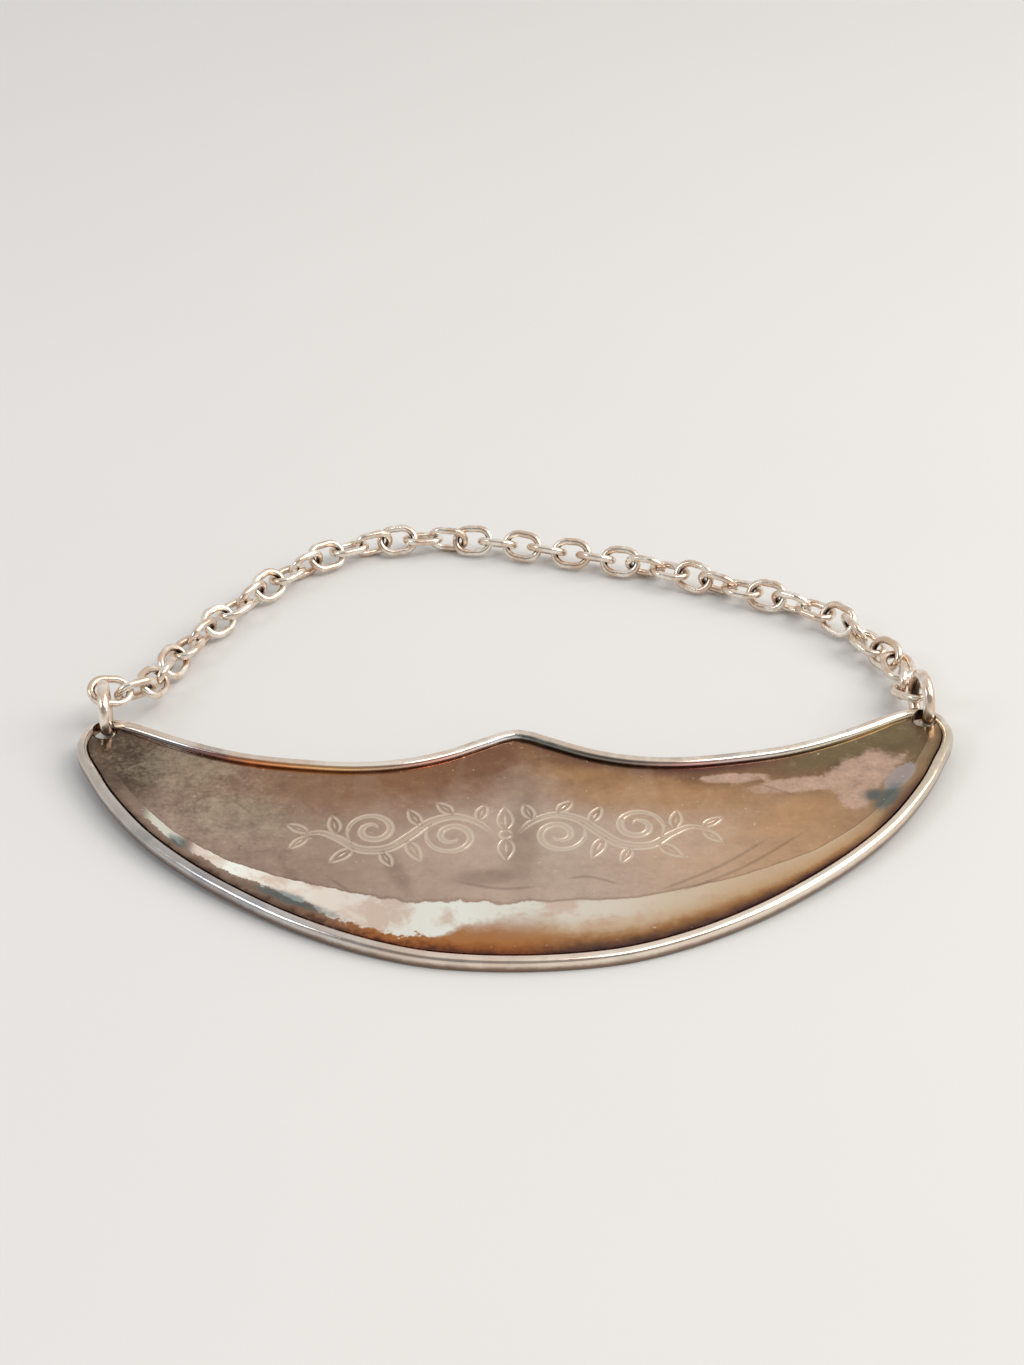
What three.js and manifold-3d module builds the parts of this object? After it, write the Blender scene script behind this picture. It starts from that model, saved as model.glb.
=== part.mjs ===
// Decanter label: a crescent silver plate with a raised border, hung by two jump rings from an oval-link chain.
// Millimetres, +Z up, standing on z = 0. The label lies face up, its long lower edge toward -Y.
// The origin is under the middle of the whole, label and laid-out chain together.
import * as THREE from "three";
import Module from "manifold-3d";
import { mergeVertices } from "three/addons/utils/BufferGeometryUtils.js";

const wasm = await Module();
wasm.setup();

// Label plate and border
const LABEL_TILT = THREE.MathUtils.degToRad(2.72);
const SHEET = 0.45;
const COVE_RISE = 0.35;
const COVE_WIDTH = 6.0;
const BORDER_WIDTH = 0.9;
const BORDER_HEIGHT = 0.95;
const SOLDER_GAP = 0.004;
const HOLE_RADIUS = 0.83;
const HOLE_X = 30.7;
const HOLE_Y = 13.2;

// Half of the label's outline, from the peak of the top edge round the right tip to the lowest point
const HALF_OUTLINE = [
  [0, 12.6],
  [1.2, 12.3],
  [2.7, 11.55],
  [5.5, 10.2],
  [8.5, 9.35],
  [11.8, 9.1],
  [15.6, 9.45],
  [20.0, 10.3],
  [23.7, 11.65],
  [26.5, 13.0],
  [28.5, 14.0],
  [30.1, 14.5],
  [31.4, 14.2],
  [32.2, 13.3],
  [32.5, 12.2],
  [32.5, 11.1],
  [32.1, 9.8],
  [31.3, 8.2],
  [29.9, 5.6],
  [26.8, 1.3],
  [23.2, -2.3],
  [19.5, -5.2],
  [16.0, -7.5],
  [12.0, -9.55],
  [8.0, -11.0],
  [4.8, -11.65],
  [0, -11.95],
];
const LOWEST_Y = -11.95;

// From the label's own origin to the middle of the whole, which becomes the part's origin
const MIDDLE_Y = 15.541;

// Jump rings
const RING_WIRE = 0.45;
const RING_RADIUS = 1.95;
const RING_Y = 14.9;
const LEFT_RING_X = -30.8;
const LEFT_RING_YAW = THREE.MathUtils.degToRad(9);
const RIGHT_RING_X = 30.76;
const RIGHT_RING_YAW = THREE.MathUtils.degToRad(5);

// Chain links
const LINK_COUNT = 41;
const LINK_WIRE = 0.305;
const LINK_HALF_WIDTH = 1.06;
const LINK_PITCH = 2.18;
const SLACK_PITCH = 2.03; // near the two rings the links are pushed together a little
const SLACK_FIRST = 4;
const SLACK_LAST = 6;
const LINK_PLAY = 0.2;
const LINK_HALF_LENGTH = (LINK_PITCH + LINK_PLAY) / 2 + LINK_WIRE;
const LYING = 1.33;

// Where the chain runs, hooked on the left ring and laid behind the label as far as the right ring
const CHAIN_ROUTE = [
  [-31.6, 16.6, 3.2],
  [-29.7, 17.1, 2.65],
  [-28.1, 18.3, 2.3],
  [-27.4, 20.2, 1.8],
  [-27.0, 22.5, LYING],
  [-25.6, 25.8, LYING],
  [-23.4, 29.6, LYING],
  [-21.0, 33.2, LYING],
  [-18.2, 36.6, LYING],
  [-15.1, 39.4, LYING],
  [-11.3, 41.2, LYING],
  [-7.3, 41.75, LYING],
  [-3.0, 41.3, LYING],
  [1.3, 40.25, LYING],
  [5.4, 38.9, LYING],
  [9.6, 37.45, LYING],
  [13.7, 35.8, LYING],
  [17.6, 33.7, LYING],
  [21.5, 31.6, LYING],
  [25.1, 29.3, LYING],
  [27.1, 27.45, LYING],
  [27.93, 25.14, 1.53],
  [28.99, 23.43, 1.29],
  [29.99, 21.7, 1.65],
  [30.28, 19.69, 1.51],
  [29.91, 17.7, 1.66],
  [31.09, 16.11, 2.07],
  [32.26, 14.54, 2.47],
];

const silver = new THREE.MeshStandardMaterial({ name: "silver", color: 0xc9c2b8, metalness: 1, roughness: 0.25 });
const tarnished = new THREE.MeshStandardMaterial({
  name: "tarnished silver",
  color: 0x8f7a68,
  metalness: 1,
  roughness: 0.3,
});

// A mesh's geometry as a manifold-3d solid
function solidOf(geometry) {
  const bare = geometry.clone();
  bare.deleteAttribute("normal");
  bare.deleteAttribute("uv");
  const merged = mergeVertices(bare, 1e-4);
  return new wasm.Manifold(
    new wasm.Mesh({
      numProp: 3,
      vertProperties: new Float32Array(merged.attributes.position.array),
      triVerts: new Uint32Array(merged.index.array),
    }),
  );
}

// A manifold-3d solid as a three.js geometry
function geometryOf(solid) {
  const mesh = solid.getMesh();
  const position = new Float32Array(mesh.numVert * 3);
  for (let i = 0; i < mesh.numVert; i++) {
    position.set(mesh.vertProperties.subarray(i * mesh.numProp, i * mesh.numProp + 3), i * 3);
  }
  const geometry = new THREE.BufferGeometry();
  geometry.setAttribute("position", new THREE.BufferAttribute(position, 3));
  geometry.setIndex(new THREE.BufferAttribute(new Uint32Array(mesh.triVerts), 1));
  geometry.computeVertexNormals();
  return geometry;
}

// The whole outline as points at even steps along it, anticlockwise
function outlinePoints(count) {
  const right = HALF_OUTLINE.map(([x, y]) => new THREE.Vector3(x, y, 0));
  const left = HALF_OUTLINE.slice(1, -1)
    .reverse()
    .map(([x, y]) => new THREE.Vector3(-x, y, 0));
  const curve = new THREE.CatmullRomCurve3([...right, ...left], true, "centripetal");
  const points = curve.getSpacedPoints(count).slice(0, count);
  return points.reverse();
}

// Outward normals of a closed anticlockwise run of points
function outwardNormals(points) {
  return points.map((_, i) => {
    const before = points[(i + points.length - 1) % points.length];
    const after = points[(i + 1) % points.length];
    const along = new THREE.Vector3().subVectors(after, before).normalize();
    return new THREE.Vector3(along.y, -along.x, 0);
  });
}

// The border's section: flat underneath, upright sides and a rounded top, as [inset, height]
function borderSection() {
  const section = [];
  const shoulder = BORDER_HEIGHT - 0.42;
  section.push([0, 0]);
  section.push([0, shoulder]);
  for (let k = 1; k < 6; k++) {
    const angle = (Math.PI * k) / 6;
    section.push([
      (BORDER_WIDTH / 2) * (1 - Math.cos(angle)),
      shoulder + (BORDER_HEIGHT - shoulder) * Math.sin(angle),
    ]);
  }
  section.push([BORDER_WIDTH, shoulder]);
  section.push([BORDER_WIDTH, 0]);
  return section;
}

// A closed ring of sections, each a run of points in space, as one solid skin
function skinOfSections(sections) {
  const size = sections[0].length;
  const position = sections.flat().flatMap((p) => [p.x, p.y, p.z]);
  const index = [];
  sections.forEach((_, i) => {
    const next = (i + 1) % sections.length;
    for (let j = 0; j < size; j++) {
      const k = (j + 1) % size;
      const a = i * size + j;
      const b = i * size + k;
      const c = next * size + j;
      const d = next * size + k;
      index.push(a, c, b, b, c, d);
    }
  });
  const geometry = new THREE.BufferGeometry();
  geometry.setAttribute("position", new THREE.Float32BufferAttribute(position, 3));
  geometry.setIndex(index);
  return geometry;
}

// The upright bores through both tips of the label
function bores() {
  const bore = wasm.Manifold.cylinder(4, HOLE_RADIUS, HOLE_RADIUS, 28, true);
  return [-HOLE_X, HOLE_X].map((x) => bore.translate([x, HOLE_Y, 0]));
}

function border() {
  const points = outlinePoints(192);
  const normals = outwardNormals(points);
  const sections = points.map((p, i) =>
    borderSection().map(
      ([inset, height]) => new THREE.Vector3(p.x - normals[i].x * inset, p.y - normals[i].y * inset, height),
    ),
  );
  let solid = solidOf(skinOfSections(sections));
  for (const bore of bores()) solid = solid.subtract(bore);
  return geometryOf(solid);
}

// Height of the label's face, which curls up toward its lower edge
function faceHeight(x, y, lower) {
  let nearest = Infinity;
  for (const p of lower) nearest = Math.min(nearest, Math.hypot(p.x - x, p.y - y));
  const share = Math.max(0, 1 - (nearest - BORDER_WIDTH) / COVE_WIDTH);
  return SHEET + COVE_RISE * Math.min(1, share) ** 2;
}

// The outline's height at x on its upper or its lower side
function edgeAt(side, x) {
  for (let i = 1; i < side.length; i++) {
    const [a, b] = [side[i - 1], side[i]];
    if (x <= b.x) return a.y + ((b.y - a.y) * (x - a.x)) / (b.x - a.x);
  }
  return side[side.length - 1].y;
}

function plate() {
  const points = outlinePoints(400);
  const reach = Math.max(...points.map((p) => p.x));
  const from = points.findIndex((p) => p.x === Math.min(...points.map((q) => q.x)));
  const turned = [...points.slice(from), ...points.slice(0, from)];
  const to = turned.findIndex((p) => p.x === reach);
  const lower = turned.slice(0, to + 1);
  const upper = [...turned.slice(to), turned[0]].reverse();
  const columns = 88;
  const rows = 14;
  const position = [];
  const index = [];
  for (let i = 0; i <= columns; i++) {
    const x = -reach * 0.996 * Math.cos((Math.PI * i) / columns);
    const [low, high] = [edgeAt(lower, x), edgeAt(upper, x)];
    for (let j = 0; j <= rows; j++) {
      const y = low + (high - low) * (j / rows) ** 1.25;
      position.push(x, y, faceHeight(x, y, lower));
    }
    position.push(x, low, 0, x, high, 0);
  }
  const size = rows + 3;
  const [foot, head] = [rows + 1, rows + 2];
  for (let i = 0; i < columns; i++) {
    const [a, b] = [i * size, (i + 1) * size];
    for (let j = 0; j < rows; j++) index.push(a + j, b + j, b + j + 1, a + j, b + j + 1, a + j + 1);
    index.push(a + foot, a + head, b + head, a + foot, b + head, b + foot);
    index.push(a + foot, b + foot, b, a + foot, b, a);
    index.push(a + head, a + rows, b + rows, a + head, b + rows, b + head);
  }
  const end = columns * size;
  for (let j = 0; j < rows; j++) {
    index.push(foot, j, j + 1);
    index.push(end + foot, end + j + 1, end + j);
  }
  index.push(foot, rows, head);
  index.push(end + foot, end + head, end + rows);
  const geometry = new THREE.BufferGeometry();
  geometry.setAttribute("position", new THREE.Float32BufferAttribute(position, 3));
  geometry.setIndex(index);
  const outline = outlinePoints(192).map((p) => [p.x, p.y]);
  const inside = new wasm.CrossSection([outline]).offset(-BORDER_WIDTH - SOLDER_GAP, "Round", 2, 24);
  let solid = solidOf(geometry).intersect(inside.extrude(4).translate([0, 0, -1]));
  for (const bore of bores()) solid = solid.subtract(bore);
  return geometryOf(solid);
}

// A jump ring standing on the table, turned a little about its upright
function jumpRing(x, yaw) {
  const ring = new THREE.TorusGeometry(RING_RADIUS, RING_WIRE, 12, 36);
  ring.rotateY(Math.PI / 2);
  ring.rotateZ(yaw);
  ring.translate(x, RING_Y, RING_RADIUS + RING_WIRE);
  return ring;
}

// The rounded-oval centre line of a link lying along X
class LinkCentreLine extends THREE.Curve {
  getPoint(t) {
    const straight = LINK_HALF_LENGTH - LINK_HALF_WIDTH;
    const angle = 2 * Math.PI * t;
    const side = Math.cos(angle) > 0 ? 1 : -1;
    return new THREE.Vector3(
      side * straight + LINK_HALF_WIDTH * Math.cos(angle),
      LINK_HALF_WIDTH * Math.sin(angle),
      0,
    );
  }
}

function linkGeometry() {
  const line = new LinkCentreLine();
  const steps = 18;
  const around = 8;
  const sections = [];
  for (let i = 0; i < steps; i++) {
    const t = (i + 0.5) / steps;
    const p = line.getPoint(t);
    const out = new THREE.Vector3(Math.cos(2 * Math.PI * t), Math.sin(2 * Math.PI * t), 0);
    const section = [];
    for (let j = 0; j < around; j++) {
      const angle = (2 * Math.PI * (j + 0.5)) / around;
      section.push(
        p
          .clone()
          .addScaledVector(out, LINK_WIRE * Math.cos(angle))
          .add(new THREE.Vector3(0, 0, LINK_WIRE * Math.sin(angle))),
      );
    }
    sections.push(section);
  }
  return skinOfSections(sections);
}

// The points where neighbouring links bear on each other, a pitch apart along the route
function bearingPoints() {
  const route = new THREE.CatmullRomCurve3(
    CHAIN_ROUTE.map((p) => new THREE.Vector3(...p)),
    false,
    "centripetal",
  );
  const fine = route.getSpacedPoints(6000);
  const points = [fine[0]];
  for (const p of fine) {
    const slack = points.length <= SLACK_FIRST || points.length > LINK_COUNT - SLACK_LAST;
    const pitch = slack ? SLACK_PITCH : LINK_PITCH;
    if (p.distanceTo(points[points.length - 1]) >= pitch) points.push(p);
    if (points.length > LINK_COUNT) break;
  }
  return points;
}

// How far each link is rolled about its own length, in degrees from lying flat: neighbours stand
// across each other, a third of a turn on in the slack stretches and a quarter in the taut one
function linkRoll(i) {
  const first = [30, 120, 45, 120];
  const last = [240, 180, 90, 0];
  if (i < first.length) return first[i];
  if (i >= LINK_COUNT - last.length) return last[i + last.length - LINK_COUNT];
  if (i < 19) return 45 - 60 * (i - 4);
  if (i < 25) return 55 + 90 * (i - 19);
  return 55 + 60 * (i - 25);
}

function linkMatrix(from, to, roll) {
  const along = new THREE.Vector3().subVectors(to, from).normalize();
  const across = new THREE.Vector3(-along.y, along.x, 0).normalize();
  const upward = new THREE.Vector3().crossVectors(along, across);
  const turn = new THREE.Matrix4().makeBasis(along, across, upward);
  turn.multiply(new THREE.Matrix4().makeRotationX(THREE.MathUtils.degToRad(roll)));
  const centre = new THREE.Vector3().addVectors(from, to).multiplyScalar(0.5);
  return turn.setPosition(centre);
}

function named(name, geometry, material) {
  const mesh = new THREE.Mesh(geometry, material);
  mesh.name = name;
  return mesh;
}

const decanterLabel = new THREE.Group();
decanterLabel.name = "decanter_label";

const label = new THREE.Group();
label.rotation.x = LABEL_TILT;
label.position.z = -LOWEST_Y * Math.sin(LABEL_TILT);
label.add(named("label_plate", plate(), tarnished));
label.add(named("border_rim", border(), silver));
decanterLabel.add(label);

decanterLabel.add(named("ring_left", jumpRing(LEFT_RING_X, LEFT_RING_YAW), silver));
decanterLabel.add(named("ring_right", jumpRing(RIGHT_RING_X, RIGHT_RING_YAW), silver));

const bearings = bearingPoints();
for (let i = 0; i < LINK_COUNT; i++) {
  const link = named(`link_${String(i + 1).padStart(2, "0")}`, linkGeometry(), silver);
  link.applyMatrix4(linkMatrix(bearings[i], bearings[i + 1], linkRoll(i)));
  decanterLabel.add(link);
}

decanterLabel.position.y = -MIDDLE_Y;

export default decanterLabel;
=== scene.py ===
"""Looks of a silver decanter label and its chain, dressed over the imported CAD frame.

Sizes are in millimetres in the classes. A mesh is put into metres, and into the frame, when it is finished.
"""

import logging
import math
from collections.abc import Sequence
from dataclasses import dataclass, field
from enum import Enum

import bpy
import numpy as np
from mathutils import Matrix, Vector
from mathutils.geometry import delaunay_2d_cdt

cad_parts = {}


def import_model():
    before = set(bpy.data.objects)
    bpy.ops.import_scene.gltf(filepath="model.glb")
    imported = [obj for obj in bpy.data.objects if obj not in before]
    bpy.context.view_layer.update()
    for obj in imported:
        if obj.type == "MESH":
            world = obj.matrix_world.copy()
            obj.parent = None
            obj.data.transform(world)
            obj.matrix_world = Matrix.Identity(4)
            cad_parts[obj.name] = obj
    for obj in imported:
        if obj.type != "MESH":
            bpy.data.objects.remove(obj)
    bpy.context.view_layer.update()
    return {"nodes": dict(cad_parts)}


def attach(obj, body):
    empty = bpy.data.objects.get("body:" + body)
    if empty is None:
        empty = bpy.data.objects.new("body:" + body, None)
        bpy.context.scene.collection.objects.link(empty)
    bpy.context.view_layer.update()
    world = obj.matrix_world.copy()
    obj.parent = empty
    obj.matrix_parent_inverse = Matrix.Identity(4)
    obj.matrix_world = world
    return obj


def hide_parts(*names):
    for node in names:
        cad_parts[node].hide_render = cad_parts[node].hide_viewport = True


LOG = logging.getLogger("decanter_label")
MM = 0.001
JUST_UNDER_ZERO = -0.001
Colour = tuple[float, float, float]
Stops = tuple[tuple[float, Colour], ...]
Blot = tuple[float, float, float, float, float]
Array = np.ndarray
Mesh = bpy.types.Mesh
Tree = bpy.types.NodeTree


class Slot(Enum):
    """The record's material slots."""

    PLATE = "silver_plate"
    BORDER = "silver_border"
    RINGS = "silver_rings"
    CHAIN = "silver_chain"


class Flow(Enum):
    """Whether a line through points is closed."""

    OPEN = "open"
    CLOSED = "closed"


# Lines on the face


def smooth_line(points: Sequence[Sequence[float]], flow: Flow, steps: int) -> Array:
    """Draws a centripetal Catmull-Rom line through points.

    Args:
        points: The points that the line passes through.
        flow: Whether it is open or closed.
        steps: How many steps it takes from each point to the next.

    Returns:
        The line's points, one row each. A closed line doesn't repeat its first.
    """
    p = np.asarray(points, float)
    if flow is Flow.CLOSED:
        padded = np.vstack([p[-1:], p, p[:2]])
    else:
        padded = np.vstack([2 * p[:1] - p[1:2], p, 2 * p[-1:] - p[-2:-1]])
    rows = []
    t = np.linspace(0, 1, steps, endpoint=False)[:, None]
    for i in range(1, len(padded) - 2):
        a, b, c, d = padded[i - 1 : i + 3]
        gaps = [max(float(np.linalg.norm(v)) ** 0.5, 1e-6) for v in (b - a, c - b, d - c)]
        leave = ((b - a) / gaps[0] - (c - a) / (gaps[0] + gaps[1]) + (c - b) / gaps[1]) * gaps[1]
        arrive = ((c - b) / gaps[1] - (d - b) / (gaps[1] + gaps[2]) + (d - c) / gaps[2]) * gaps[1]
        square, cube = 3 * (c - b) - 2 * leave - arrive, 2 * (b - c) + leave + arrive
        rows.append(b + leave * t + square * t**2 + cube * t**3)
    if flow is Flow.OPEN:
        rows.append(p[-1:])
    return np.vstack(rows)


def evenly(line: Array, count: int, flow: Flow = Flow.OPEN) -> Array:
    """Takes points at even steps along a line.

    Args:
        line: The line's points.
        count: How many points to take.
        flow: Whether the line closes on itself.

    Returns:
        The points, one row each.
    """
    run = np.vstack([line, line[:1]]) if flow is Flow.CLOSED else line
    reach = np.concatenate([[0], np.cumsum(np.linalg.norm(np.diff(run, axis=0), axis=1))])
    at = np.linspace(0, reach[-1], count, endpoint=flow is Flow.OPEN)
    return np.stack([np.interp(at, reach, run[:, k]) for k in range(run.shape[1])], axis=1)


def length_of(line: Array) -> float:
    """The length of an open line."""
    return float(np.linalg.norm(np.diff(line, axis=0), axis=1).sum())


def circle_points(count: int, radius: float = 1.0) -> Array:
    """Points round a circle about the origin, one row each."""
    angle = np.linspace(0, 2 * math.pi, count, endpoint=False)
    return radius * np.stack([np.cos(angle), np.sin(angle)], axis=1)


def left_of(line: Array, flow: Flow = Flow.OPEN) -> Array:
    """Finds the unit normals on a line's left-hand side.

    Args:
        line: The line's points.
        flow: Whether the line closes on itself.

    Returns:
        One normal for each point.
    """
    if flow is Flow.CLOSED:
        along = np.roll(line, -1, axis=0) - np.roll(line, 1, axis=0)
    else:
        along = np.gradient(line, axis=0)
    along /= np.maximum(np.linalg.norm(along, axis=1, keepdims=True), 1e-9)
    return np.stack([-along[:, 1], along[:, 0]], axis=1)


def nearest_on(points: Array, start: Array, end: Array) -> tuple[Array, Array]:
    """Finds each point's nearest segment.

    Args:
        points: The points that are asked about.
        start: The segments' first ends.
        end: The segments' second ends.

    Returns:
        The vector from the nearest place on any segment to each point, and that segment's index.
    """
    away = np.zeros_like(points)
    which = np.zeros(len(points), int)
    span = end - start
    square = np.maximum((span**2).sum(1), 1e-12)
    for i in range(0, len(points), 2000):
        p = points[i : i + 2000, None, :]
        t = np.clip(((p - start) * span).sum(2) / square, 0, 1)
        gap = p - (start + t[..., None] * span)
        k = (gap**2).sum(2).argmin(1)
        away[i : i + 2000] = gap[np.arange(len(k)), k]
        which[i : i + 2000] = k
    return away, which


def gap_to(points: Array, start: Array, end: Array) -> Array:
    """How far each point is from the nearest of some segments."""
    return np.linalg.norm(nearest_on(points, start, end)[0], axis=1)


def inside(points: Array, loop: Array) -> Array:
    """Says of each point whether it is inside a closed loop.

    Args:
        points: The points that are asked about.
        loop: The loop's points.

    Returns:
        True or false for each point.
    """
    a, b = loop, np.roll(loop, -1, axis=0)
    rise = np.where(b[:, 1] == a[:, 1], 1e-12, b[:, 1] - a[:, 1])
    found = np.zeros(len(points), bool)
    for i in range(0, len(points), 4000):
        x, y = points[i : i + 4000, 0:1], points[i : i + 4000, 1:2]
        spans = (a[:, 1] > y) != (b[:, 1] > y)
        crossing = a[:, 0] + (y - a[:, 1]) * (b[:, 0] - a[:, 0]) / rise
        found[i : i + 4000] = (spans & (x < crossing)).sum(1) % 2 == 1
    return found


@dataclass
class LabelOutline:
    """The crescent's outline and bores in the label's own plane, from the same points as the CAD model."""

    half: tuple[tuple[float, float], ...] = (
        (0, 12.6), (1.2, 12.3), (2.7, 11.55), (5.5, 10.2), (8.5, 9.35), (11.8, 9.1), (15.6, 9.45),
        (20.0, 10.3), (23.7, 11.65), (26.5, 13.0), (28.5, 14.0), (30.1, 14.5), (31.4, 14.2), (32.2, 13.3),
        (32.5, 12.2), (32.5, 11.1), (32.1, 9.8), (31.3, 8.2), (29.9, 5.6), (26.8, 1.3), (23.2, -2.3),
        (19.5, -5.2), (16.0, -7.5), (12.0, -9.55), (8.0, -11.0), (4.8, -11.65), (0, -11.95),
    )
    tilt_deg: float = 2.72
    middle_y: float = 15.541
    bore_radius: float = 0.83
    bore_x: float = 30.7
    bore_y: float = 13.2
    bore_points: int = 72

    def points(self, count: int) -> Array:
        """Points at even steps round the outline, anticlockwise."""
        mirrored = [(-x, y) for x, y in self.half[1:-1]][::-1]
        return evenly(smooth_line([*self.half, *mirrored], Flow.CLOSED, 24), count, Flow.CLOSED)[::-1]

    def inset(self, count: int, depth: float) -> Array:
        """The outline moved inwards by a depth, at count points."""
        line = self.points(count)
        return line + left_of(line, Flow.CLOSED) * depth

    def between_tips(self, way: float, count: int) -> Array:
        """Takes one long edge out of the outline.

        Args:
            way: 1 for the lower edge, which runs to the right, and -1 for the top one.
            count: How many points the whole outline has.

        Returns:
            The edge's points, from one tip to the other.
        """
        line = self.points(count)
        line = np.roll(line, -int((line[:, 0] * way).argmin()), axis=0)
        return line[: int((line[:, 0] * way).argmax()) + 1]

    def gaps(self, points: Array, count: int = 900) -> tuple[Array, Array, Array]:
        """Measures points against the two long edges.

        Args:
            points: Places in the label's plane.
            count: How many points the outline has.

        Returns:
            The vector from the lower edge, the distance from it and the distance from the top edge.
        """
        lower, upper = self.between_tips(1.0, count), self.between_tips(-1.0, count)
        away, _ = nearest_on(points, lower[:-1], lower[1:])
        return away, np.linalg.norm(away, axis=1), gap_to(points, upper[:-1], upper[1:])

    def bores(self) -> list[Array]:
        """The middles of the two bores."""
        return [np.array([side * self.bore_x, self.bore_y]) for side in (-1.0, 1.0)]

    def bore_rings(self) -> list[Array]:
        """The bores' edges."""
        return [bore + circle_points(self.bore_points, self.bore_radius) for bore in self.bores()]

    def clear_of_bores(self, points: Array, radius: float) -> Array:
        """Says of each point whether it is further than a radius from both bores' middles."""
        return np.all([np.linalg.norm(points - bore, axis=1) > radius for bore in self.bores()], axis=0)

    def frame(self) -> Matrix:
        """Takes millimetres in the label's plane to metres in the frame."""
        tilt = math.radians(self.tilt_deg)
        lift = Matrix.Translation((0, -self.middle_y * MM, -self.half[-1][1] * math.sin(tilt) * MM))
        return lift @ Matrix.Rotation(tilt, 4, "X") @ Matrix.Scale(MM, 4)


# Nodes


class Value:
    """A result inside a node tree. Arithmetic on it adds Math nodes."""

    def __init__(self, sketch: "Sketch", socket: bpy.types.NodeSocket) -> None:
        """Remembers the socket and the sketch that it belongs to."""
        self.sketch = sketch
        self.socket = socket

    def __add__(self, other: "Number") -> "Value":
        """The sum."""
        return self.sketch.math("ADD", self, other)

    def __sub__(self, other: "Number") -> "Value":
        """The difference."""
        return self.sketch.math("SUBTRACT", self, other)

    def __rsub__(self, other: float) -> "Value":
        """What is left of a plain number."""
        return self.sketch.math("SUBTRACT", other, self)

    def __mul__(self, other: "Number") -> "Value":
        """The product."""
        return self.sketch.math("MULTIPLY", self, other)

    def __truediv__(self, other: "Number") -> "Value":
        """The quotient."""
        return self.sketch.math("DIVIDE", self, other)

    def __pow__(self, other: "Number") -> "Value":
        """The power."""
        return self.sketch.math("POWER", self, other)

    def __neg__(self) -> "Value":
        """The opposite."""
        return self.sketch.math("MULTIPLY", self, -1.0)

    def __abs__(self) -> "Value":
        """The size without its sign."""
        return self.sketch.math("ABSOLUTE", self)


Number = Value | float


class Sketch:
    """Lays out the nodes of one tree."""

    def __init__(self, tree: Tree) -> None:
        """Starts on an empty tree."""
        self.tree = tree
        self.tree.nodes.clear()

    def feed(self, socket: bpy.types.NodeSocket, value: object) -> None:
        """Links a socket to a result, or sets its value.

        Args:
            socket: The input that is fed.
            value: A result, or a plain value. A colour may leave out its opacity.
        """
        if isinstance(value, Value):
            self.tree.links.new(value.socket, socket)
        elif socket.type == "RGBA" and len(value) == 3:
            socket.default_value = (*value, 1.0)
        else:
            socket.default_value = value

    def node(self, kind: str, inputs: dict | None = None, **settings: object) -> bpy.types.Node:
        """Adds a node.

        Args:
            kind: The node's type.
            inputs: What feeds its inputs, by their names or numbers.
            **settings: Its own settings.

        Returns:
            The node.
        """
        made = self.tree.nodes.new(kind)
        for name, value in settings.items():
            setattr(made, name, value)
        for key, value in (inputs or {}).items():
            self.feed(made.inputs[key], value)
        return made

    def out(self, kind: str, inputs: dict | None = None, output: int | str = 0, **settings: object) -> Value:
        """Adds a node, as node() does, and hands back one of its outputs."""
        return Value(self, self.node(kind, inputs, **settings).outputs[output])

    def math(self, operation: str, *values: Number, clamp: bool = False) -> Value:
        """A Math node's result."""
        return self.out("ShaderNodeMath", dict(enumerate(values)), operation=operation, use_clamp=clamp)

    def span(
        self, value: Value, low: Number, high: Number, to_low: Number = 0.0, to_high: Number = 1.0
    ) -> Value:
        """A smooth step, from to_low where a value is at low or under it to to_high at high or over it."""
        ends = dict(enumerate((value, low, high, to_low, to_high)))
        return self.out("ShaderNodeMapRange", ends, interpolation_type="SMOOTHSTEP")

    def split(self, vector: Value) -> list[Value]:
        """The three coordinates of a vector."""
        return [Value(self, socket) for socket in self.node("ShaderNodeSeparateXYZ", {0: vector}).outputs]


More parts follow.
